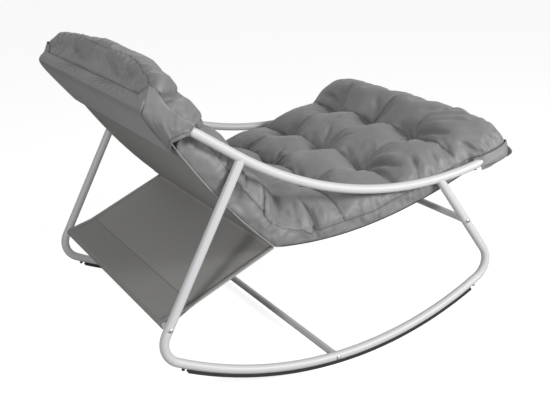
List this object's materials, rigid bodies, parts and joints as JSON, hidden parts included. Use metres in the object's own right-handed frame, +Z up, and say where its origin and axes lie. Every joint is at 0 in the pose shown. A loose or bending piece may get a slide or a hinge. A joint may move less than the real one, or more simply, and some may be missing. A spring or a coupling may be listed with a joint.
{
  "type": "outdoor rocking lounge chair",
  "caption": "Padded garden rocking lounge chair: bent white tube runners and curved seat rails, woven sling, and a thick tufted cushion with pockets over the head and foot hoops.",
  "frame": {"origin": "on the floor under the middle of the chair's length and width, as it comes to rest", "axes": "+X to the foot end, +Y to the sitter's left, +Z up"},
  "size_m": [1.127, 0.9024, 0.8787],
  "materials": {
    "white_frame": "gloss",
    "plug_plastic": "matte",
    "bolt_steel": "satin",
    "white_screw": "gloss",
    "black_cap": "satin",
    "runner_rubber": "matte",
    "woven_sling": "matte",
    "cushion_cloth": "satin"
  },
  "bodies": {
    "root": {"right_rocker_tube": "white_frame", "left_rocker_tube": "white_frame", "right_seat_rail": "white_frame", "left_seat_rail": "white_frame", "head_hoop": "white_frame", "foot_hoop": "white_frame", "rear_crossbar": "white_frame", "low_crossbar": "white_frame", "front_crossbar": "white_frame", "rear_bar_plugs": "plug_plastic", "low_bar_plugs": "plug_plastic", "front_bar_plugs": "plug_plastic", "rear_bar_bolts": "bolt_steel", "low_bar_bolts": "bolt_steel", "front_bar_bolts": "bolt_steel", "head_lock_screws": "white_screw", "foot_lock_screws": "black_cap", "right_rocker_strip": "runner_rubber", "left_rocker_strip": "runner_rubber", "rear_strip_stops": "runner_rubber", "front_strip_stops": "runner_rubber", "seat_sling": "woven_sling", "rear_panel": "woven_sling", "cushion_seat": "cushion_cloth", "cushion_back": "cushion_cloth", "head_pocket": "cushion_cloth", "foot_pocket": "cushion_cloth"}
  },
  "joints": []
}
